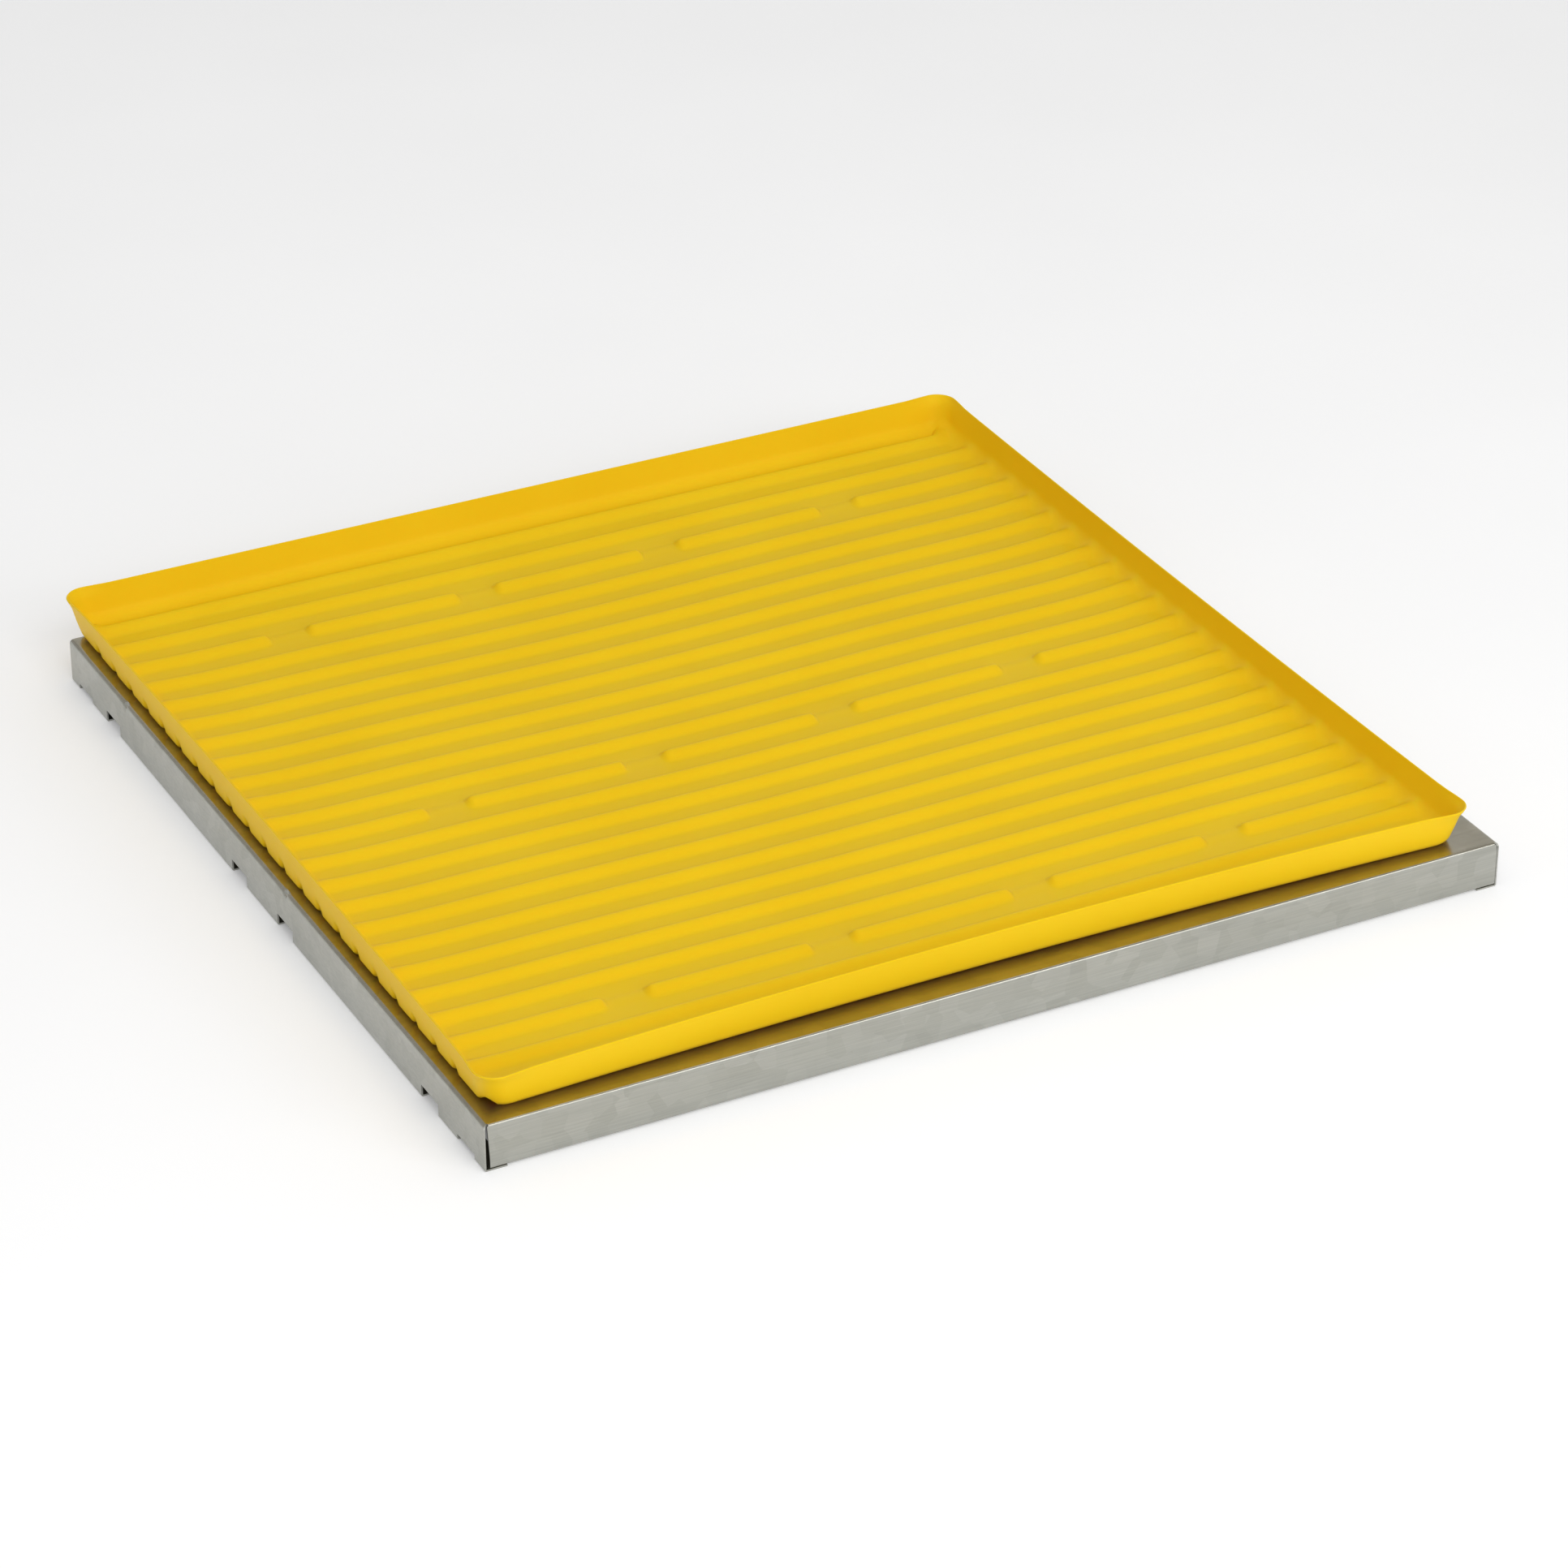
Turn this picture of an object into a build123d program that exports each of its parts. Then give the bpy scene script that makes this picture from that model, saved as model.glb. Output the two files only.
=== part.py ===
"""Spill shelf: a folded galvanised shelf with a dished deck, and the ribbed tray that lies on it.

Millimetres, +Z up, front towards -Y. The origin is on the floor, in the middle of the whole footprint.
"""
import os

from build123d import *

# Folded shelf
shelf_width = 771.5
shelf_depth = 736.6
shelf_height = 34.9
sheet = 1.2
bend_radius = 2.6
return_width = 16.0
border = 4.5              # flat strip between the front bend and the start of the dish
dish_depth = 7.0
dish_skew = 157.0         # the lowest point of the dish lies this far behind the middle
dish_power = 3.5          # how flat the bottom of the dish is against its rim
dish_rings = (1.0, 0.93, 0.84, 0.7, 0.5, 0.25)     # sections of the dish, as shares of its full size

# Corner seams, clip notches and pressed darts of the shelf
open_corner = (-1, -1)    # the front left corner stands open, the other three are closed up
seam_top = 1.3            # width of the open seam under the bend and at the foot
seam_bottom = 3.4
tight_seam = 0.4
notch_length = 27.0
notch_radius = 2.0
deep_notch_height = 9.6
deep_notch_offsets = (-283.0, -41.0, 41.0, 283.0)
shallow_notch_height = 4.5
shallow_notch_offsets = (-339.5, 339.5)
notch_reach = 4.8         # how far the notches run in from the flange's outer face
dart_offsets = (-43.0, 256.0)
dart_width = 5.0
dart_leg = 8.0            # the web behind a dart runs this far along both faces
groove_size = dart_width / 2**0.5
groove_depth = 2.4

# Stiffener under the deck
stiffener_width = 46.0
stiffener_sheet = 1.2
stiffener_underside = 13.0
weld_gap = 0.05

# Tray
tray_width = 736.6        # across the underside
tray_depth = 739.2
tray_height = 29.0
tray_flare = 5.7          # how far the rim stands out past the underside
tray_wall = 2.0
tray_corner = 18.0
front_bow = 9.0           # the front wall is drawn in at mid length
tray_offset_x = -8.45     # the tray lies a little left of and behind the middle of the shelf
tray_offset_y = 12.1
tray_clearance = 0.3

# Ribs on the tray floor
rib_count = 23
rib_pitch = 31.75
rib_width = 11.0
rib_height = 5.0
channel_width = rib_width - 2 * tray_wall
broken_ribs = (2, 11, 20)
gap_pitch = 153.0
gap_shift = -3.0          # the gaps sit a little left of the middle of the tray
gap_length = 31.0
gaps_per_rib = 4

# The whole footprint is centred on the origin
rim_width = tray_width + 2 * tray_flare
rim_depth = tray_depth + 2 * tray_flare
rear_overhang = tray_offset_y + rim_depth / 2 - shelf_depth / 2
shelf_y = -rear_overhang / 2
tray_y = shelf_y + tray_offset_y
tray_x = tray_offset_x
tray_base = shelf_height + tray_clearance
rim_top = tray_base + tray_height
dish_width = shelf_width - 2 * border
dish_length = shelf_depth - 2 * border


def dish_drop(share):
    """Depth of the dish on the ring whose size is this share of the whole dish."""
    return dish_depth * (1 - share**dish_power)


def space_above_deck(lift):
    """Everything above the dished top of the deck, moved up by lift."""
    with BuildPart() as space:
        for share in dish_rings:
            middle_y = shelf_y + dish_skew * (1 - share)
            with BuildSketch(Plane((0, middle_y, shelf_height + lift - dish_drop(share)))):
                Rectangle(dish_width * share, dish_length * share)
        loft(ruled=True)
        with BuildSketch(Plane.XY.offset(shelf_height + lift)):
            Rectangle(2 * shelf_width, 2 * shelf_depth)
        extrude(amount=2 * tray_height)
    return space.part


def tray_outline(width, depth, corner):
    """Rounded rectangle whose front side is drawn in by an arc."""
    left, right, front, rear = -width / 2, width / 2, -depth / 2, depth / 2
    with BuildSketch() as outline:
        with BuildLine():
            ThreePointArc((left, front), (0, front + front_bow), (right, front))
            Polyline((right, front), (right, rear), (left, rear), (left, front))
        make_face()
        fillet(outline.vertices(), corner)
    return outline.sketch


def tray_block(inset, bottom):
    """Solid that fills the tray, drawn in on every side by inset, down to bottom."""
    levels = ((bottom, 0.0), (tray_base, 0.0), (rim_top, tray_flare))
    with BuildPart() as block:
        for height, flare in levels:
            grow = 2 * (flare - inset)
            with BuildSketch(Plane((tray_x, tray_y, height))):
                add(tray_outline(tray_width + grow, tray_depth + grow, tray_corner - inset))
        loft(ruled=True)
    return block.part


def rib_runs(width, end_margin, gap_margin):
    """Upright bars along every rib, cut by the gaps of the broken ribs."""
    length = tray_width - 2 * end_margin
    first_rib = tray_y + (rib_count - 1) / 2 * rib_pitch
    first_gap = tray_x + gap_shift - (gaps_per_rib - 1) / 2 * gap_pitch
    bottom = Plane.XY.offset(shelf_height - dish_depth)
    with BuildPart() as runs:
        with BuildSketch(bottom):
            for number in range(rib_count):
                with Locations((tray_x, first_rib - number * rib_pitch)):
                    Rectangle(length, width)
            for number in broken_ribs:
                for gap in range(gaps_per_rib):
                    with Locations((first_gap + gap * gap_pitch, first_rib - number * rib_pitch)):
                        Rectangle(gap_length + 2 * gap_margin, 2 * width, mode=Mode.SUBTRACT)
        extrude(amount=dish_depth + tray_height)
    return runs.part


# Shelf: box with a dished top, hollowed from below, with inward returns at the foot of each flange
with BuildPart() as underside:
    with BuildSketch(Plane((0, shelf_y, 0))):
        Rectangle(shelf_width - 2 * sheet, shelf_depth - 2 * sheet)
    extrude(amount=shelf_height - sheet)
    fillet(underside.faces().sort_by(Axis.Z)[-1].edges(), bend_radius - sheet)
    add(space_above_deck(-sheet), mode=Mode.SUBTRACT)

with BuildPart() as shelf_pan:
    with BuildSketch(Plane((0, shelf_y, 0))):
        Rectangle(shelf_width, shelf_depth)
    extrude(amount=shelf_height)
    fillet(shelf_pan.faces().sort_by(Axis.Z)[-1].edges(), bend_radius)
    add(space_above_deck(0), mode=Mode.SUBTRACT)
    add(underside.part, mode=Mode.SUBTRACT)

    # side returns run the whole depth; front and rear returns lie on top of them
    side_return_x = (shelf_width - return_width) / 2
    with BuildSketch(Plane((0, shelf_y, 0))):
        with Locations((side_return_x, 0), (-side_return_x, 0)):
            Rectangle(return_width, shelf_depth)
    extrude(amount=sheet)
    end_return_y = (shelf_depth - return_width) / 2
    with BuildSketch(Plane((0, shelf_y, sheet))):
        with Locations((0, end_return_y), (0, -end_return_y)):
            Rectangle(shelf_width - 2 * sheet, return_width)
    extrude(amount=sheet)
    with BuildSketch(Plane((0, shelf_y, 0))):
        with Locations((0, end_return_y), (0, -end_return_y)):
            Rectangle(shelf_width - 2 * return_width, return_width)
    extrude(amount=sheet, mode=Mode.SUBTRACT)

    # pressed darts across the side bends: a web inside, then a groove outside
    for side in (-1, 1):
        corner_x = side * (shelf_width / 2 - sheet / 2)
        corner_z = shelf_height - sheet / 2
        for offset in dart_offsets:
            rear_end = (0, shelf_y + offset + dart_width / 2, 0)
            with BuildSketch(Plane(rear_end, x_dir=(1, 0, 0), z_dir=(0, -1, 0))):
                with BuildLine():
                    Polyline((corner_x, corner_z - dart_leg), (corner_x, corner_z),
                             (corner_x - side * dart_leg, corner_z), close=True)
                make_face()
            extrude(amount=dart_width)

# Grooves of the darts, clip notches and corner seams are cut from the finished shell
with BuildPart() as cuts:
    for side in (-1, 1):
        flange_x = side * shelf_width / 2
        for offset in dart_offsets:
            reach = bend_radius * (2**0.5 - 1) - groove_depth + groove_size / 2**0.5
            middle = (flange_x + side * reach / 2**0.5, shelf_y + offset, shelf_height + reach / 2**0.5)
            across = Plane(middle, x_dir=(0, 1, 0), z_dir=(side, 0, -1))
            with BuildSketch(across):
                Rectangle(groove_size, groove_size, rotation=45)
            extrude(amount=2 * dart_leg, both=True)
        deep_notches = [(offset, deep_notch_height) for offset in deep_notch_offsets]
        shallow_notches = [(offset, shallow_notch_height) for offset in shallow_notch_offsets]
        for offset, height in deep_notches + shallow_notches:
            middle = (flange_x - side * notch_reach, shelf_y + offset, 0)
            with BuildSketch(Plane(middle, x_dir=(0, side, 0), z_dir=(side, 0, 0))) as notch:
                Rectangle(notch_length, 2 * height)
                fillet(notch.vertices(), notch_radius)
            extrude(amount=2 * notch_reach)
        for end in (-1, 1):
            corner_open = (side, end) == open_corner
            gap_top = seam_top if corner_open else tight_seam
            gap_bottom = seam_bottom if corner_open else tight_seam
            middle = (flange_x - side * sheet, shelf_y + end * shelf_depth / 2, 0)
            with BuildSketch(Plane(middle, x_dir=(-side, 0, 0), z_dir=(0, -side, 0))):
                with BuildLine():
                    Polyline((0, sheet), (gap_bottom, sheet), (gap_top, shelf_height - bend_radius),
                             (0, shelf_height - bend_radius), close=True)
                make_face()
            extrude(amount=2 * sheet, both=True)
shelf_pan.part -= cuts.part
shelf_pan.part.label = "shelf_pan"

# Stiffener: channel from the front flange to the rear one, its webs cut to the underside of the deck
with BuildPart() as centre_stiffener:
    stiffener_length = shelf_depth - 2 * sheet - 2 * weld_gap
    web_height = shelf_height - bend_radius - weld_gap - stiffener_underside
    with BuildSketch(Plane((0, shelf_y, stiffener_underside))):
        Rectangle(stiffener_width, stiffener_length)
    extrude(amount=web_height)
    with BuildSketch(Plane((0, shelf_y, stiffener_underside + stiffener_sheet))):
        Rectangle(stiffener_width - 2 * stiffener_sheet, stiffener_length - 2 * stiffener_sheet)
    extrude(amount=web_height, mode=Mode.SUBTRACT)
    add(space_above_deck(-sheet - weld_gap), mode=Mode.SUBTRACT)
centre_stiffener.part.label = "centre_stiffener"

# Tray: thin drafted walls, a floor that follows the dish, hollow ribs open underneath and at the sides
floor_bottom = shelf_height - dish_depth - tray_wall
with BuildPart() as inner_space:
    add(tray_block(tray_wall, floor_bottom))
    add(space_above_deck(tray_clearance + tray_wall), mode=Mode.INTERSECT)

with BuildPart() as ribs:
    add(rib_runs(rib_width, 0.0, 0.0))
    add(space_above_deck(tray_clearance + tray_wall + rib_height), mode=Mode.SUBTRACT)
    add(tray_block(tray_wall / 2, floor_bottom), mode=Mode.INTERSECT)

with BuildPart() as channels:
    add(rib_runs(channel_width, -tray_flare, tray_wall))
    add(space_above_deck(tray_clearance + rib_height), mode=Mode.SUBTRACT)

with BuildPart() as spill_tray:
    add(tray_block(0.0, floor_bottom))
    add(inner_space.part, mode=Mode.SUBTRACT)
    add(ribs.part)
    add(space_above_deck(tray_clearance), mode=Mode.INTERSECT)
    add(channels.part, mode=Mode.SUBTRACT)
spill_tray.part.label = "spill_tray"

os.makedirs("parts", exist_ok=True)
export_step(shelf_pan.part, "parts/shelf_pan.step")
export_step(centre_stiffener.part, "parts/centre_stiffener.step")
export_step(spill_tray.part, "parts/spill_tray.step")
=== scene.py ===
"""Looks of the spill shelf and its ribbed tray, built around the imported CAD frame."""
import math

import bmesh
import bpy
import numpy as np
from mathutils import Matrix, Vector


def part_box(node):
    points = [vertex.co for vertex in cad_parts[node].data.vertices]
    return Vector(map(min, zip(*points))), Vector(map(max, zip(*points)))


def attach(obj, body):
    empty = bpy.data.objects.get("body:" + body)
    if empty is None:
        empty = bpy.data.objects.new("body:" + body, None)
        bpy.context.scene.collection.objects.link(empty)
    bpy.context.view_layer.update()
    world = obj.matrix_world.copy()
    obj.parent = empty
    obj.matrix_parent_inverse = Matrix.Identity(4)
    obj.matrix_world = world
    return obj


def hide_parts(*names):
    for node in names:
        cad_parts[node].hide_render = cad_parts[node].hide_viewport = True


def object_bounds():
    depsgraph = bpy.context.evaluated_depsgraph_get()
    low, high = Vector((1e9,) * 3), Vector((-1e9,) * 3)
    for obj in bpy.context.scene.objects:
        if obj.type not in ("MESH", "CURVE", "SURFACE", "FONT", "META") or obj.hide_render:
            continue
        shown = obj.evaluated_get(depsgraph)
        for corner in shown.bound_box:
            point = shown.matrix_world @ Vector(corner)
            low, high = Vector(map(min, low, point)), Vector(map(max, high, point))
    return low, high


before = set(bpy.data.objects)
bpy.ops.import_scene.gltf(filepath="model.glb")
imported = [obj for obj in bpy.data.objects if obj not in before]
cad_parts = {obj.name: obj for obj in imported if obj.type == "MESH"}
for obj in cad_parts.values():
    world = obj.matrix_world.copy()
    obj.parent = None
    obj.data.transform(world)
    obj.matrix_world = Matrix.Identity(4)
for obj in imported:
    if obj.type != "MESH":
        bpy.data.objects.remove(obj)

MM = 0.001
cad_low, cad_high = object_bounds()
shelf_low, shelf_high = (np.array(c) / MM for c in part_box("shelf_pan"))
tray_low, tray_high = (np.array(c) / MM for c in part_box("spill_tray"))
shelf_mid = (shelf_low + shelf_high) / 2
shelf_half = (shelf_high - shelf_low) / 2

# mm. The deck is pressed into a dish, deepest behind the shelf's middle, inside a flat border.
DISH_DEPTH = 7.0
DISH_BACK = 157.0
DISH_BORDER = 4.5
SIDE_BEND = 3.4
SHEET = 1.2
CLEARANCE = 0.3


# ---------------------------------------------------------------- mesh helpers
def new_piece(name, points, faces, material, body, replaced=None):
    """A mesh object from points in mm, riding on a CAD body."""
    mesh = bpy.data.meshes.new(name)
    mesh.from_pydata((np.asarray(points) * MM).tolist(), [], faces)
    mesh.validate()
    mesh.update()
    piece = bpy.data.objects.new(name, mesh)
    bpy.context.scene.collection.objects.link(piece)
    mesh.materials.append(material)
    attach(piece, body)
    if replaced:
        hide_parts(replaced)
    return piece


def smooth(piece, angle=35.0):
    mesh = piece.data
    mesh.polygons.foreach_set("use_smooth", np.ones(len(mesh.polygons), bool))
    mesh.set_sharp_from_angle(angle=math.radians(angle))
    mesh.update()


def quad_normals(points, quads):
    """Vertex normals of a quad mesh, weighted by area."""
    p = points[quads]
    n = np.cross(p[:, 2] - p[:, 0], p[:, 3] - p[:, 1])
    out = np.zeros_like(points)
    for corner in range(4):
        np.add.at(out, quads[:, corner], n)
    return out / np.linalg.norm(out, axis=1)[:, None]


def step(x):
    x = np.clip(x, 0.0, 1.0)
    return x * x * (3 - 2 * x)


def grid_quads(ids):
    """Quads of a 2-D array of vertex numbers, turned so that +row x +column faces up."""
    return np.stack([ids[:-1, :-1], ids[:-1, 1:], ids[1:, 1:], ids[1:, :-1]], -1).reshape(-1, 4)


# ---------------------------------------------------------------- deck and sag
def dish(x, y):
    """Depth of the deck below its border at points in the row frame."""
    half_x = shelf_half[0] - SIDE_BEND
    half_y = shelf_half[1] - DISH_BORDER
    deep_y = shelf_mid[1] + DISH_BACK
    u = np.abs(x - shelf_mid[0]) / half_x
    v = np.where(y < deep_y, (deep_y - y) / (half_y + DISH_BACK),
                 (y - deep_y) / (half_y - DISH_BACK))
    u, v = np.clip(u, 0, 1), np.clip(v, 0, 1)
    return DISH_DEPTH * (1 - u**3.5) * (1 - v**3.5)


# ---------------------------------------------------------------- tray
RIM_X, RIM_Y = 373.3, 374.5         # middle of the wall, at the rim
FLARE = 6.0
TRAY_HEIGHT = 29.0
REAR_INSET = 0.8                    # of the rim's middle line, from the CAD tray's rear side
WALL = 2.0
RIM_WALL, RIM_CREST = 1.2, 0.4
RIB_PITCH, RIB_COUNT, RIB_HEIGHT = 31.75, 23, 5.0
SPREAD_RUN = 32.0             # ribs get wider over this distance from a side wall
GAP_END = 6.5
GAP_TRACE = 0.09              # share of a rib's height that is left in its gaps
# reach of a rib's front and rear slope, how much wider it gets at a side wall, and the fillets
# between floor and side wall in the valleys and at the ribs, and how far each rib draws in the foot of
# the side wall: for the upper face, then the underside
UPPER_FACE = (10.5, 7.0, 8.5, 13.0, 8.0, 0.0)
UNDERSIDE = (7.0, 6.0, 0.0, 5.5, 4.5, 3.4)
SCOOP_TOP = 11.5              # the walls are drawn in up to this height
BROKEN_RIBS = (2, 11, 20)
GAP_PITCH, GAP_LENGTH, GAP_SHIFT = 153.0, 39.0, -2.0
tray_x = (tray_low[0] + tray_high[0]) / 2
tray_y = tray_high[1] - RIM_Y - REAR_INSET
tray_base = shelf_high[2] + CLEARANCE


def sag(x, y):
    """How far the tray's floor has sunk into the dish."""
    from_left = x - (tray_x - RIM_X + FLARE)
    from_right = (tray_x + RIM_X - FLARE) - x
    edge = np.clip(np.minimum(from_left, from_right), 0, None)
    middle = np.clip(np.abs(x - shelf_mid[0] + 38.0) / 245.0, 0, 1)
    across = 0.52 * (1 - np.exp(-(edge / 34.0) ** 1.7)) + 0.48 * np.cos(math.pi / 2 * middle) ** 2
    deep_y = shelf_mid[1] + DISH_BACK
    v = np.where(y < deep_y, (deep_y - y) / 492.0, (y - deep_y) / 206.0)
    along = 1 - np.clip(v, 0, 1) ** 2.4
    return np.minimum(DISH_DEPTH * across * along, dish(x, y))


def rib(x, y, front, rear, widening):
    """Height share of the ribs, 0 to 1, at points in the row frame."""
    out = np.zeros_like(x)
    to_wall = np.clip(RIM_X - FLARE - np.abs(x - tray_x), 0, SPREAD_RUN)
    spread = widening * (1 - to_wall / SPREAD_RUN) ** 2.2
    for number in range(RIB_COUNT):
        centre = tray_y + ((RIB_COUNT - 1) / 2 - number) * RIB_PITCH
        dy = y - centre
        near = np.abs(dy) < RIB_PITCH / 2
        reach = np.where(dy < 0, front, rear) + spread
        past = np.zeros_like(x)
        if number in BROKEN_RIBS:
            for k in range(4):
                middle = tray_x + GAP_SHIFT + (k - 1.5) * GAP_PITCH
                past = np.maximum(past, GAP_LENGTH / 2 - np.abs(x - middle))
        r = np.sqrt((dy / reach) ** 2 + (np.clip(past, 0, None) / GAP_END) ** 2)
        bump = 0.5 * (1 + np.cos(math.pi * np.clip(r, 0, 1)))
        if number in BROKEN_RIBS:
            trace = 0.5 * (1 + np.cos(math.pi * np.clip(np.abs(dy) / reach, 0, 1)))
            bump = np.maximum(bump, GAP_TRACE * trace)
        out = np.where(near, np.maximum(out, bump), out)
    return out


INNER = FLARE + 16.0          # inset from the rim at which the walls' rings meet the floor's grid
CORNER_RUN = 22.0


def tray_axes():
    half_x, half_y = RIM_X - INNER, RIM_Y - INNER
    xs = set(np.round(np.linspace(-half_x, half_x, 37), 3))
    close = np.arange(1, 11) * 2.0
    xs |= set(np.round(np.concatenate([half_x - close, -half_x + close]), 3))
    for k in range(4):
        for end in (-1, 1):
            mid = GAP_SHIFT + (k - 1.5) * GAP_PITCH + end * (GAP_LENGTH / 2 - 3.0)
            xs |= set(np.round(mid + np.arange(-4, 5) * 1.6, 3))
    xs = np.array(sorted(xs))
    xs = xs[np.concatenate([[True], np.diff(xs) > 0.5])]
    xs[-1] = half_x
    offsets = (-13.0, -10.6, -8.6, -7.0, -5.6, -4.3, -3.1, -2.0, -1.0,
               0.0, 1.0, 2.1, 3.2, 4.4, 5.7, 7.2, 9.4)
    ys = set()
    for number in range(RIB_COUNT):
        centre = ((RIB_COUNT - 1) / 2 - number) * RIB_PITCH
        ys |= set(np.round([centre + o for o in offsets] + [centre + 12.2], 3))
    ys = np.array(sorted(y for y in ys if abs(y) < half_y - 0.6))
    ys = np.concatenate([[-half_y], ys, [half_y]])
    return xs, ys


def rim_path(inset, radius, side, run):
    """Point on a rounded rectangle. side is a pair of arrays: the floor's border point it belongs to."""
    a, b = RIM_X - inset, RIM_Y - inset
    bx, by = side
    half_x, half_y = RIM_X - INNER, RIM_Y - INNER
    on_x = np.abs(np.abs(bx) - half_x) < 1e-6
    sx, sy = np.sign(bx), np.sign(by)
    ax, ay = np.abs(bx), np.abs(by)
    start_x, start_y = half_x - run, half_y - run
    straight_y = on_x & (ay <= start_y)
    straight_x = ~on_x & (ax <= start_x)
    x = np.where(straight_y, a, ax)
    y = np.where(straight_x, b, ay)
    corner = ~(straight_x | straight_y)
    share = np.where(on_x, (ay - start_y) / run / 2, 1 - (ax - start_x) / run / 2)
    first = b - radius - start_y
    last = a - radius - start_x
    arc = radius * math.pi / 2
    s = share * (first + arc + last)
    turn = np.clip((s - first) / np.maximum(radius, 1e-6), 0, math.pi / 2)
    cx = a - radius + radius * np.cos(turn) - np.clip(s - first - arc, 0, None)
    cy = b - radius + radius * np.sin(turn) - np.clip(first - s, 0, None)
    x = np.where(corner, cx, x)
    y = np.where(corner, cy, y)
    return x * sx, y * sy, corner * (1 - np.abs(2 * share - 1)), share


def tray_surface(front, rear, widening, valley_fillet, rib_fillet, scoop):
    """Points and quads of one face of the tray, from the floor's grid out to the rim, and the rim's loop."""
    xs, ys = tray_axes()
    gx, gy = np.meshgrid(xs, ys)
    ids = np.arange(gx.size).reshape(gx.shape)
    base = tray_base + WALL / 2
    ribs = rib(gx + tray_x, gy + tray_y, front, rear, widening)
    floor_z = base + RIB_HEIGHT * ribs - sag(gx + tray_x, gy + tray_y)
    points = [np.stack([gx, gy, floor_z], -1).reshape(-1, 3)]
    quads = [grid_quads(ids)]
    loop = np.concatenate([ids[0, :-1], ids[:-1, -1], ids[-1, :0:-1], ids[:0:-1, 0]])
    border = points[0][loop]
    side = (border[:, 0], border[:, 1])
    on_x = np.abs(np.abs(side[0]) - (RIM_X - INNER)) < 1e-6
    share = rib(side[0] + tray_x, side[1] + tray_y, front, rear, widening)
    sunk = border[:, 2] - base - RIB_HEIGHT * share
    height = TRAY_HEIGHT - WALL / 2 - RIM_CREST
    swing = math.pi / 2 - math.atan2(FLARE, height)
    flat_steps, arc_steps, wall_steps = 3, 9, 7
    straight_fillet = np.where(side[1] > 0, 12.0, 6.5)

    wall_x = np.sign(side[0]) * (RIM_X - FLARE) + tray_x
    cusp = np.where(on_x, rib(wall_x, side[1] + tray_y, *UNDERSIDE[:3]), 0)
    cusp = cusp * np.where(np.abs(side[1]) > RIM_Y - INNER - CORNER_RUN, 0.2, 1.0)

    def wall_point(number, share):
        """Inset and height of one ring of the wall, for ribs whose height share there is share."""
        edge = sunk + RIB_HEIGHT * share
        fillet = np.where(on_x, valley_fillet + (rib_fillet - valley_fillet) * share, straight_fillet)
        end_flat = FLARE * (1 - edge / height) + fillet * math.tan(swing / 2)
        if number <= flat_steps:
            return INNER + (end_flat - INNER) * number / flat_steps, edge
        turn = swing * min(number - flat_steps, arc_steps) / arc_steps
        inset = end_flat - fillet * math.sin(turn)
        rise = edge + fillet * (1 - math.cos(turn))
        up = 1 - (1 - max(number - flat_steps - arc_steps, 0) / wall_steps) ** 1.4
        return inset * (1 - up), rise + (height - rise) * up

    rings = [loop]
    count = gx.size
    for number in range(1, flat_steps + arc_steps + wall_steps + 1):
        for _ in range(2):  # the ribs' height depends on the inset, and the inset on it
            inset, z = wall_point(number, share)
            at_x = np.where(on_x, np.sign(side[0]) * (RIM_X - np.maximum(inset, FLARE)), side[0])
            at_y = np.where(on_x, side[1], np.sign(side[1]) * (RIM_Y - np.maximum(inset, FLARE)))
            share = rib(at_x + tray_x, at_y + tray_y, front, rear, widening)
        flat = np.clip((INNER - inset) / (INNER - FLARE), 0, 1)
        up = np.clip(z / height, 0, 1)
        radius = 17.0 * flat ** 0.8 - 1.5 * up
        x, y, cornerness, round_corner = rim_path(inset, radius, side, CORNER_RUN)
        low = step((SCOOP_TOP - z) / (SCOOP_TOP - RIB_HEIGHT))
        drawn_in = scoop * cusp * low * min(number / flat_steps, 1)
        x = x - np.sign(x) * drawn_in
        lip = 1.9 * step(cornerness * 1.5 - 0.2) * np.exp(-((height - z) / 4.0) ** 2)
        diagonal = 0.5 * math.pi * round_corner
        x = x + np.sign(x) * lip * np.cos(diagonal)
        y = y + np.sign(y) * lip * np.sin(diagonal)
        rings.append(count + np.arange(len(loop)))
        count += len(loop)
        points.append(np.stack([x, y, base + z], -1))
    for inner, outer in zip(rings[:-1], rings[1:]):
        quads.append(np.stack([inner, np.roll(inner, -1), np.roll(outer, -1), outer], -1)[:, ::-1])
    points, quads = np.concatenate(points), np.concatenate(quads)
    # the front wall is drawn in, and the side walls lean in a little at mid length
    x, y, z = points.T
    up = np.clip((z - base) / height, 0, 1)
    from_front = y + RIM_Y - FLARE
    pull = 1 - step(from_front / 34.0)
    points[:, 1] += (8.7 + 0.8 * up) * pull * (1 - np.clip(x / RIM_X, -1, 1) ** 2)
    points[:, 0] -= np.sign(x) * 3.0 * up ** 2 * (1 - np.clip(y / RIM_Y, -1, 1) ** 2)
    points[:, 0] += tray_x
    points[:, 1] += tray_y
    normals = quad_normals(points, quads)
    if normals[gx.size // 2, 2] < 0:
        quads = quads[:, ::-1]
        normals = -normals
    thick = (WALL + (RIM_WALL - WALL) * up) / 2
    return points, quads, rings[-1], normals * thick[:, None]


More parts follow.
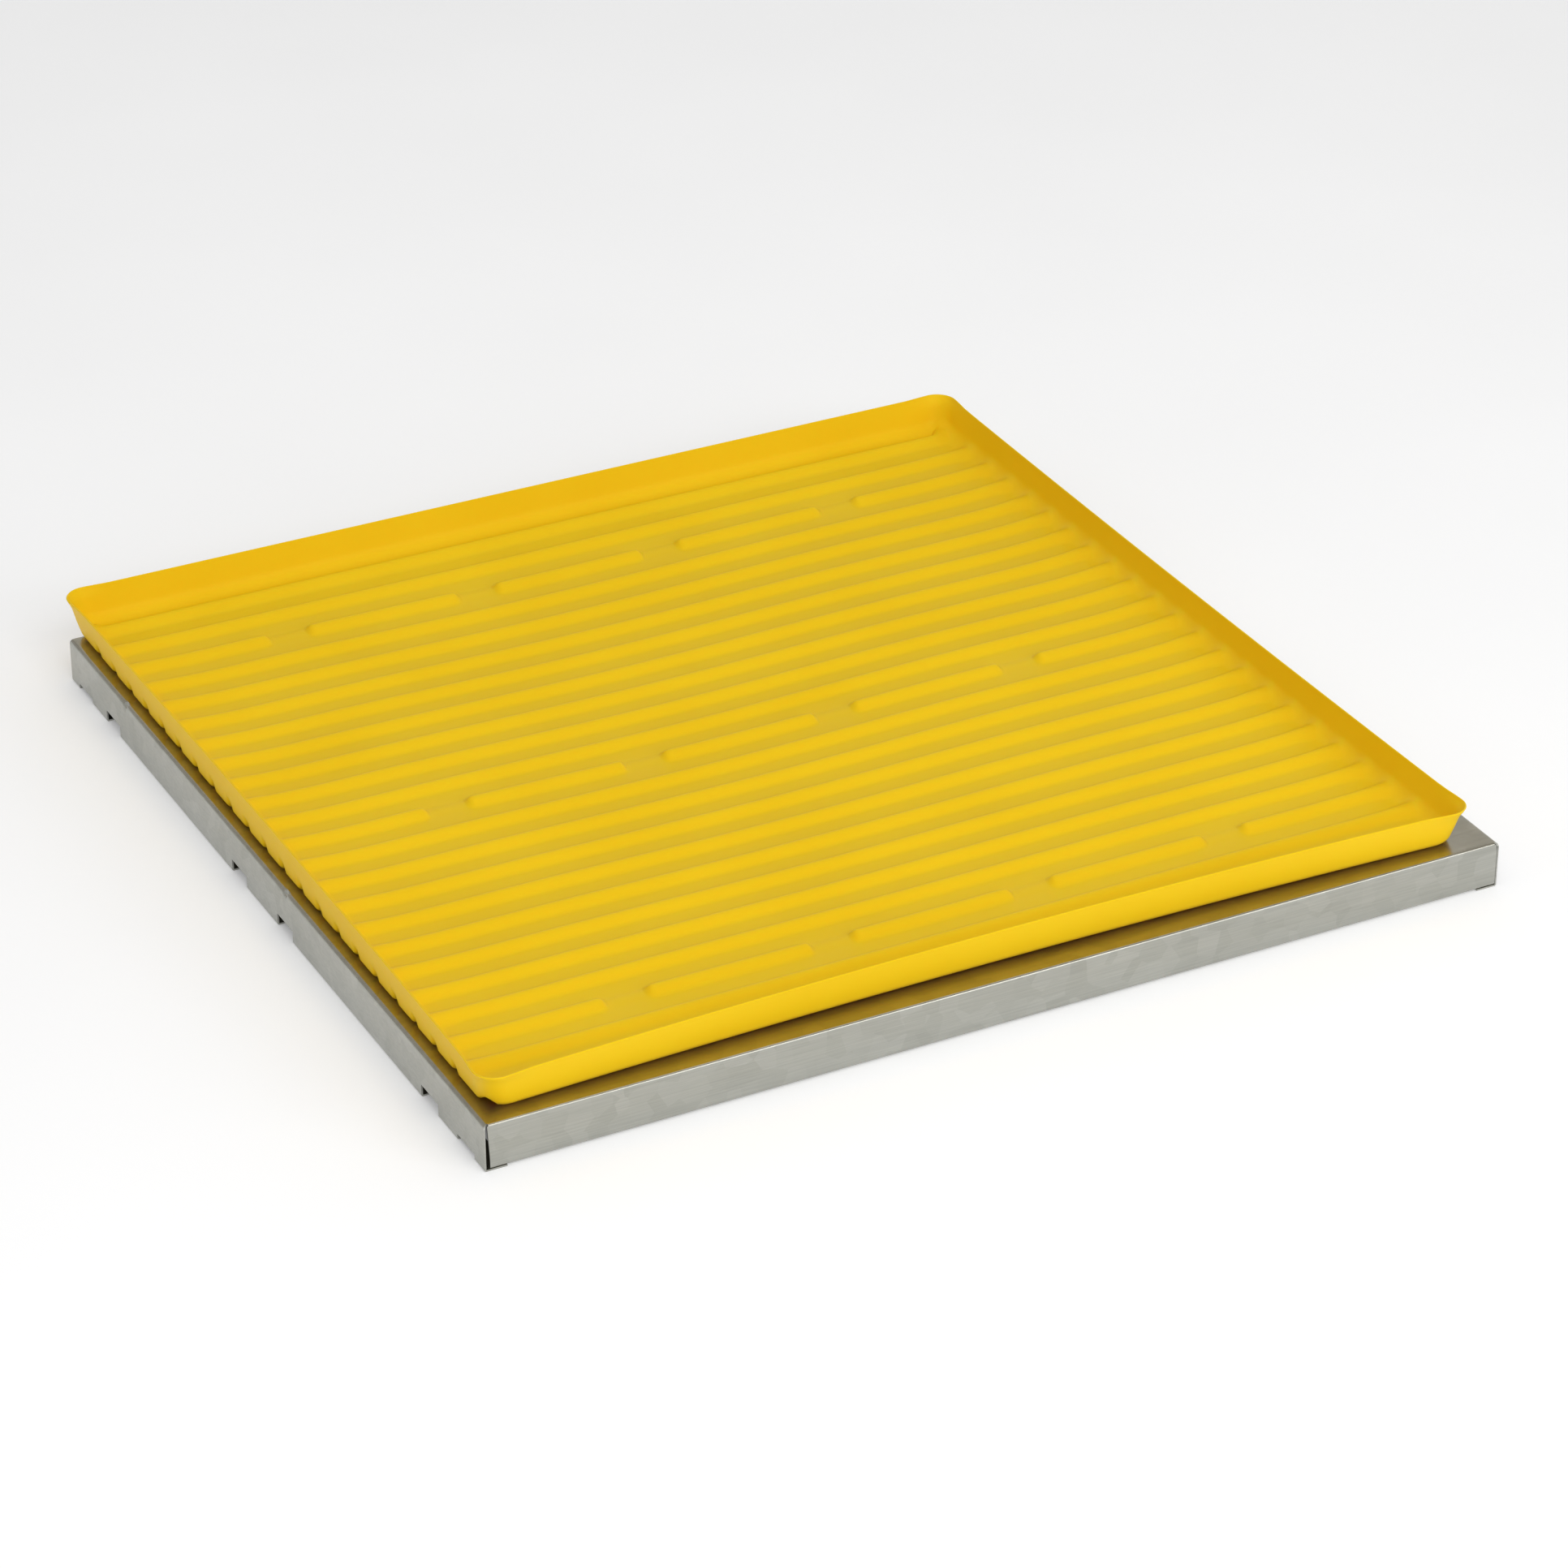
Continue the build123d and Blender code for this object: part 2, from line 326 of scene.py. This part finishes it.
def build_tray(material):
    points, quads, rim, offset = tray_surface(*UPPER_FACE)
    under_points, _, _, under_offset = tray_surface(*UNDERSIDE)
    top = points + offset
    bottom = under_points - under_offset
    n = len(points)
    crest = points[rim] + np.array([0, 0, RIM_CREST])
    everything = np.concatenate([top, bottom, crest])
    crest_ids = 2 * n + np.arange(len(rim))
    faces = [quads, quads[:, ::-1] + n]
    nxt = np.roll(rim, -1)
    faces.append(np.stack([rim, crest_ids, np.roll(crest_ids, -1), nxt], -1))
    faces.append(np.stack([crest_ids, rim + n, nxt + n, np.roll(crest_ids, -1)], -1))
    piece = new_piece("tray_shell", everything, np.concatenate(faces).tolist(), material, "tray",
                      "spill_tray")
    bm = bmesh.new()
    bm.from_mesh(piece.data)
    bmesh.ops.recalc_face_normals(bm, faces=bm.faces)
    bm.to_mesh(piece.data)
    bm.free()
    smooth(piece, 50)
    return piece


# ---------------------------------------------------------------- shelf
FRONT_BEND, FOOT_BEND = 1.8, 1.4
RETURN_WIDTH = 16.0
SEAM_TOP, SEAM_BOTTOM, TIGHT_SEAM = 1.3, 3.4, 0.3
NOTCH_LENGTH, NOTCH_REACH = 27.0, 5.6
NOTCHES = ((-283.0, 9.6), (-41.0, 9.6), (41.0, 9.6), (283.0, 9.6), (-339.5, 4.5), (339.5, 4.5))
DARTS = (-43.0, 256.0)
DART_DENT, DART_HALF_WIDTH = 4.4, 3.5


def flange_profile(bend, foot_z):
    """(distance out from the bend's tangent line, height) down a flange and in along its return."""
    top = shelf_high[2]
    line = []
    for k in range(1, 7):
        turn = math.pi / 2 * k / 6
        line.append((bend * math.sin(turn), top - bend * (1 - math.cos(turn))))
    line += [(bend, top - bend - 3.5 * k) for k in range(1, 3)]
    line += [(bend, foot_z + 13.0), (bend, foot_z + FOOT_BEND + 3)]
    for k in range(0, 7):
        turn = math.pi / 2 * k / 6
        line.append((bend - FOOT_BEND * (1 - math.cos(turn)), foot_z + FOOT_BEND * (1 - math.sin(turn))))
    line += [(bend - 8.0, foot_z), (bend - RETURN_WIDTH, foot_z)]
    return np.array(line)


def build_shelf(material):
    half_x, half_y = shelf_half[0], shelf_half[1]
    top = shelf_high[2]
    tx, ty = half_x - SIDE_BEND, half_y - FRONT_BEND
    crease_x, crease_y = tx - 4.0, half_y - DISH_BORDER
    xs = np.concatenate([[-tx], np.linspace(-crease_x, crease_x, 49), [tx]])
    dart_rows = []
    for d in DARTS:
        dart_rows += [d + o for o in (-5.0, -3.0, -1.5, 0.0, 1.5, 3.0, 5.0)]
    ys = np.concatenate([[-ty, -crease_y - 0.6, -crease_y], np.linspace(-crease_y, crease_y, 49)[1:-1],
                         [crease_y, crease_y + 0.6, ty]])
    ys = np.array(sorted([y for y in ys if min(abs(y - d) for d in DARTS) > 6.0] + dart_rows))
    gx, gy = np.meshgrid(xs, ys)
    gz = top - dish(gx + shelf_mid[0], gy + shelf_mid[1])
    ids = np.arange(gx.size).reshape(gx.shape)
    points = [np.stack([gx, gy, gz], -1).reshape(-1, 3)]
    quads = [grid_quads(ids)]
    count = gx.size
    for axis, sign in ((1, -1), (0, 1), (1, 1), (0, -1)):
        front = axis == 1
        if front:
            row = ids[0 if sign < 0 else -1, :]
            along = xs
            profile = flange_profile(FRONT_BEND, SHEET + 0.05)
            start = ty
            limit = half_x
        else:
            row = ids[:, 0 if sign < 0 else -1]
            along = ys
            profile = flange_profile(SIDE_BEND, 0.0)
            start = tx
            limit = half_y
        lines = [row]
        for number, (out, z) in enumerate(profile):
            u = along.copy()
            if front:
                inner = SIDE_BEND - SHEET
                rise = z - (top - SIDE_BEND)
                side_wall = limit - SIDE_BEND + math.sqrt(max(inner**2 - max(rise, 0) ** 2, 0))
                wedge = SEAM_TOP + (SEAM_BOTTOM - SEAM_TOP) * (top - z) / top
                shortest = abs(along[-1]) - 0.6
                open_end, tight_end = (max(min(side_wall - 0.25, limit - SHEET - gap), shortest)
                                       for gap in (wedge, TIGHT_SEAM))
                first_end, last_end = (open_end if sign < 0 else tight_end), tight_end
            else:
                share = min(1.0, (number + 1) / 6)
                first_end = last_end = abs(along[-1]) + (limit - abs(along[-1])) * share
            u[0], u[-1] = -first_end, last_end
            dent = np.zeros_like(u)
            if not front and number < 9:
                for d in DARTS:
                    dent = np.maximum(dent, 1 - np.abs(u - d) / DART_HALF_WIDTH)
                dent = DART_DENT * np.clip(dent, 0, 1) * max(0.0, 1 - abs(number - 2.5) / 4.0)
            place = sign * (start + out - dent * 0.7)
            height = z - dent * 0.7
            xyz = np.zeros((len(u), 3))
            xyz[:, axis] = place
            xyz[:, 1 - axis] = u
            xyz[:, 2] = height
            points.append(xyz)
            line = count + np.arange(len(u))
            count += len(u)
            lines.append(line)
        block = np.array(lines)
        quads.append(grid_quads(block))
    points, quads = np.concatenate(points), np.concatenate(quads)
    points[:, 0] += shelf_mid[0]
    points[:, 1] += shelf_mid[1]
    # turn every patch the same way round by building normals on a bmesh
    bm = bmesh.new()
    verts = [bm.verts.new(p) for p in points]
    for q in quads:
        bm.faces.new([verts[i] for i in q])
    bmesh.ops.recalc_face_normals(bm, faces=bm.faces)
    bm.normal_update()
    deck_face = min(bm.faces, key=lambda f: (f.calc_center_median() - Vector((0, 0, top))).length)
    if deck_face.normal.z < 0:
        bmesh.ops.reverse_faces(bm, faces=bm.faces)
    bm.verts.index_update()
    faces = [[v.index for v in f.verts] for f in bm.faces]
    bm.free()
    quads = np.array(faces)
    normals = quad_normals(points, quads)
    n = len(points)
    inner = points - normals * SHEET
    everything = np.concatenate([points, inner])
    edges = {}
    for q in quads:
        for a, b in zip(q, np.roll(q, -1)):
            edges[(a, b)] = True
    rim = [(a, b) for a, b in edges if (b, a) not in edges]
    walls = [[b, a, a + n, b + n] for a, b in rim]
    all_faces = quads.tolist() + (quads[:, ::-1] + n).tolist() + walls
    piece = new_piece("shelf_sheet", everything, all_faces, material, "shelf",
                      "shelf_pan")
    # notches at the foot of the side flanges
    for side in (-1, 1):
        for offset, height in NOTCHES:
            cutter = notch_cutter(side, offset, height)
            cut = piece.modifiers.new("notch", "BOOLEAN")
            cut.operation = "DIFFERENCE"
            cut.solver = "MANIFOLD"
            cut.object = cutter
            bpy.context.view_layer.update()
            with bpy.context.temp_override(object=piece, active_object=piece):
                bpy.ops.object.modifier_apply(modifier=cut.name)
            bpy.data.objects.remove(cutter)
    smooth(piece, 32)
    return piece


def notch_cutter(side, offset, height):
    bm = bmesh.new()
    bmesh.ops.create_cube(bm, size=1.0)
    outer = shelf_half[0] + 6.0
    inner = shelf_half[0] - NOTCH_REACH
    for v in bm.verts:
        v.co.x = side * (outer if v.co.x > 0 else inner)
        v.co.y *= NOTCH_LENGTH
        v.co.z = height if v.co.z > 0 else -5.0
    inner_edges = []
    for e in bm.edges:
        a, b = e.verts[0].co, e.verts[1].co
        if abs(abs(a.x) - inner) < 0.1 and abs(abs(b.x) - inner) < 0.1 and abs(a.z - b.z) > 1:
            inner_edges.append(e)
    bmesh.ops.bevel(bm, geom=inner_edges, offset=3.0, segments=5, affect="EDGES", profile=0.5)
    top_edges = []
    for e in bm.edges:
        a, b = e.verts[0].co, e.verts[1].co
        at_end = abs(abs(a.y) - NOTCH_LENGTH / 2) < 0.01 and abs(a.y - b.y) < 0.01
        if a.z > 0 and b.z > 0 and abs(a.x - b.x) > 5 and at_end:
            top_edges.append(e)
    bmesh.ops.bevel(bm, geom=top_edges, offset=0.9, segments=3, affect="EDGES", profile=0.5)
    bmesh.ops.recalc_face_normals(bm, faces=bm.faces)
    mesh = bpy.data.meshes.new("cutter")
    for v in bm.verts:
        v.co.x += shelf_mid[0]
        v.co.y += shelf_mid[1] + offset
        v.co *= MM
    bm.to_mesh(mesh)
    bm.free()
    cutter = bpy.data.objects.new("cutter", mesh)
    bpy.context.scene.collection.objects.link(cutter)
    return cutter


# ---------------------------------------------------------------- materials
class Nodes:
    """A small helper to write shader node trees."""

    def __init__(self, name):
        self.material = bpy.data.materials.new(name)
        self.material.use_nodes = True
        self.tree = self.material.node_tree
        self.tree.nodes.clear()
        self.out = self.tree.nodes.new("ShaderNodeOutputMaterial")
        self.shader = self.tree.nodes.new("ShaderNodeBsdfPrincipled")
        self.tree.links.new(self.shader.outputs[0], self.out.inputs["Surface"])

    def node(self, kind, settings=None, **inputs):
        n = self.tree.nodes.new(kind)
        for key, value in (settings or {}).items():
            setattr(n, key, value)
        for key, value in inputs.items():
            self.put(n.inputs[key.replace("_", " ")], value)
        return n

    def put(self, socket, value):
        if isinstance(value, bpy.types.NodeSocket):
            self.tree.links.new(value, socket)
        else:
            socket.default_value = value

    def ramp(self, factor, stops):
        n = self.tree.nodes.new("ShaderNodeValToRGB")
        self.put(n.inputs[0], factor)
        ramp = n.color_ramp
        while len(ramp.elements) < len(stops):
            ramp.elements.new(0.5)
        for element, (position, colour) in zip(ramp.elements, stops):
            element.position = position
            element.color = colour if len(colour) == 4 else (*colour, 1)
        return n.outputs[0]

    def mapped(self, scale):
        place = self.node("ShaderNodeTexCoord")
        return self.node("ShaderNodeMapping", Vector=place.outputs["Object"], Scale=scale).outputs[0]

    def noise(self, scale, detail, size, roughness=0.5):
        return self.node("ShaderNodeTexNoise", Vector=self.mapped(scale), Scale=size, Detail=detail,
                         Roughness=roughness).outputs[0]

    def bump(self, height, strength, distance):
        return self.node("ShaderNodeBump", Height=height, Strength=strength, Distance=distance).outputs[0]


def grey(value):
    return (value, value, value)


def plastic(name):
    m = Nodes(name)
    fine = m.noise((1, 1, 1), 4, 900.0, 0.6)
    broad = m.noise((1, 1, 1), 2, 9.0)
    colour = m.ramp(broad, ((0.35, (0.82, 0.525, 0.006)), (0.65, (0.84, 0.545, 0.008))))
    m.put(m.shader.inputs["Base Color"], colour)
    m.put(m.shader.inputs["Roughness"], m.ramp(fine, ((0.3, grey(0.44)), (0.7, grey(0.54)))))
    m.put(m.shader.inputs["Normal"], m.bump(fine, 0.12, 0.0004))
    m.shader.inputs["IOR"].default_value = 1.5
    m.shader.inputs["Specular IOR Level"].default_value = 0.3
    m.shader.inputs["Specular Tint"].default_value = (1.0, 0.72, 0.22, 1.0)
    m.shader.inputs["Subsurface Weight"].default_value = 0.25
    m.shader.inputs["Subsurface Radius"].default_value = (0.006, 0.003, 0.0008)
    m.shader.inputs["Subsurface Scale"].default_value = 1.0
    return m.material


def zinc(name):
    m = Nodes(name)
    cells = m.node("ShaderNodeTexVoronoi", Vector=m.mapped((1, 1, 1)), Scale=70.0).outputs["Color"]
    spangle = m.node("ShaderNodeRGBToBW", Color=cells).outputs[0]
    streak = m.noise((1.2, 14, 60), 5, 14.0, 0.65)
    broad = m.noise((1, 1, 1), 3, 7.0)
    fine = m.noise((1, 1, 1), 3, 420.0)
    normal = m.node("ShaderNodeNewGeometry").outputs["Normal"]
    facing = m.node("ShaderNodeSeparateXYZ", Vector=normal).outputs["Z"]
    flatness = m.ramp(facing, ((0.35, grey(0)), (0.85, grey(1))))
    mix = m.node("ShaderNodeMix", {"data_type": "RGBA"})
    mix.inputs[0].default_value = 0.06
    m.put(mix.inputs[6], m.ramp(streak, ((0.3, (0.365, 0.366, 0.33)), (0.7, (0.45, 0.451, 0.405)))))
    m.put(mix.inputs[7], spangle)
    # painted reflection: up-facing faces, the deck most of all, get their base colour multiplied by amber to
    # stand in for the yellow tray mirrored in the steel
    painted_tray_reflection = m.node("ShaderNodeMix", {"data_type": "RGBA", "blend_type": "MULTIPLY"})
    m.put(painted_tray_reflection.inputs[0], flatness)
    m.put(painted_tray_reflection.inputs[6], mix.outputs[2])
    painted_tray_reflection.inputs[7].default_value = (0.95, 0.88, 0.77, 1)
    m.put(m.shader.inputs["Base Color"], painted_tray_reflection.outputs[2])
    m.shader.inputs["Metallic"].default_value = 0.95
    flange = m.ramp(broad, ((0.3, grey(0.31)), (0.7, grey(0.38))))
    deck = m.ramp(broad, ((0.3, grey(0.17)), (0.7, grey(0.23))))
    rough = m.node("ShaderNodeMix", {"data_type": "RGBA"})
    m.put(rough.inputs[0], flatness)
    m.put(rough.inputs[6], flange)
    m.put(rough.inputs[7], deck)
    m.put(m.shader.inputs["Roughness"], rough.outputs[2])
    m.put(m.shader.inputs["Normal"], m.bump(fine, 0.06, 0.0004))
    return m.material


def floor_material(name):
    m = Nodes(name)
    paint = m.ramp(m.noise((1, 1, 1), 2, 3.0), ((0.3, grey(0.86)), (0.7, grey(0.88))))
    m.put(m.shader.inputs["Base Color"], paint)
    m.shader.inputs["Roughness"].default_value = 0.9
    m.shader.inputs["Specular IOR Level"].default_value = 0.1
    m.shader.inputs["Emission Color"].default_value = (1, 1, 1, 1)
    place = m.node("ShaderNodeNewGeometry").outputs["Position"]
    apart = m.node("ShaderNodeVectorMath", {"operation": "ABSOLUTE"}, Vector=place).outputs["Vector"]
    parts = m.node("ShaderNodeSeparateXYZ", Vector=apart)
    far = m.node("ShaderNodeMath", {"operation": "MAXIMUM"})
    m.put(far.inputs[0], parts.outputs["X"])
    m.put(far.inputs[1], parts.outputs["Y"])
    # no glow under the shelf, where it would light the inside through the notches
    glow = m.node("ShaderNodeMapRange", From_Min=0.34, From_Max=0.375, To_Min=0.0, To_Max=0.18,
                  Value=far.outputs[0])
    m.put(m.shader.inputs["Emission Strength"], glow.outputs[0])
    return m.material


# ---------------------------------------------------------------- stage
CAMERA_YAW = math.radians(27.433)
CAMERA_PITCH = math.radians(29.734)
CAMERA_DISTANCE = 3.7486
CAMERA_LENS = 119.88
SENSOR = 36.0


def build_stage():
    size = 6.0
    rise = 12
    points, faces = [], []
    for k in range(2):
        x = (-size, size)[k]
        points.append((x, -size, 0))
        points.append((x, size * 0.9, 0))
        for j in range(1, rise + 1):
            turn = math.pi / 2 * j / rise
            points.append((x, size * 0.9 + 2.0 * math.sin(turn), 2.0 * (1 - math.cos(turn))))
        points.append((x, size * 0.9 + 2.0, 6.0))
    n = rise + 3
    for j in range(n - 1):
        faces.append((j, n + j, n + j + 1, j + 1))
    mesh = bpy.data.meshes.new("floor")
    mesh.from_pydata(points, [], faces)
    floor = bpy.data.objects.new("floor", mesh)
    bpy.context.scene.collection.objects.link(floor)
    floor.location.z = cad_low.z - 0.0002
    floor.rotation_euler.z = -CAMERA_YAW
    mesh.materials.append(floor_material("floor_paint"))
    mesh.polygons.foreach_set("use_smooth", np.ones(len(mesh.polygons), bool))


def build_camera():
    data = bpy.data.cameras.new("camera")
    data.sensor_width = SENSOR
    data.lens = CAMERA_LENS
    data.clip_start, data.clip_end = 0.05, 60.0
    camera = bpy.data.objects.new("camera", data)
    bpy.context.scene.collection.objects.link(camera)
    aim = Vector((shelf_mid[0] + 11.37, shelf_mid[1] - 16.05, 1.2)) * MM
    level = math.cos(CAMERA_PITCH)
    forward = Vector((math.sin(CAMERA_YAW) * level, math.cos(CAMERA_YAW) * level,
                      -math.sin(CAMERA_PITCH)))
    camera.location = aim - forward * CAMERA_DISTANCE
    camera.rotation_euler = (math.pi / 2 - CAMERA_PITCH, 0, -CAMERA_YAW)
    bpy.context.scene.camera = camera


def area_light(name, place, aim, size, power, colour=(1, 1, 1)):
    data = bpy.data.lights.new(name, "AREA")
    data.shape = "RECTANGLE"
    data.size, data.size_y = size
    data.energy = power
    data.color = colour
    light = bpy.data.objects.new(name, data)
    bpy.context.scene.collection.objects.link(light)
    light.location = place
    light.rotation_euler = (Vector(aim) - Vector(place)).to_track_quat("-Z", "Y").to_euler()


def build_lights():
    world = bpy.data.worlds.new("studio")
    bpy.context.scene.world = world
    world.use_nodes = True
    back = world.node_tree.nodes["Background"]
    back.inputs["Color"].default_value = (1, 1, 1, 1)
    back.inputs["Strength"].default_value = 0.5
    area_light("key", (-0.6, -2.85, 2.45), (0, 0, 0), (2.6, 1.8), 52)
    area_light("front", (1.5, -3.2, 1.25), (0, 0, 0), (2.0, 1.2), 27)
    area_light("fill", (-3.4, -0.2, 1.8), (0, 0, 0), (2.4, 1.6), 3)
    area_light("top", (0.2, 0.3, 3.2), (0, 0, 0), (3.0, 3.0), 14)


bpy.context.scene.view_settings.view_transform = "Standard"
steel = zinc("galvanised_steel")
yellow = plastic("yellow_polyethylene")
build_camera()
build_lights()
build_stage()
build_tray(yellow)
build_shelf(steel)
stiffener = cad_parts["centre_stiffener"]
stiffener.data.materials.clear()
stiffener.data.materials.append(steel)
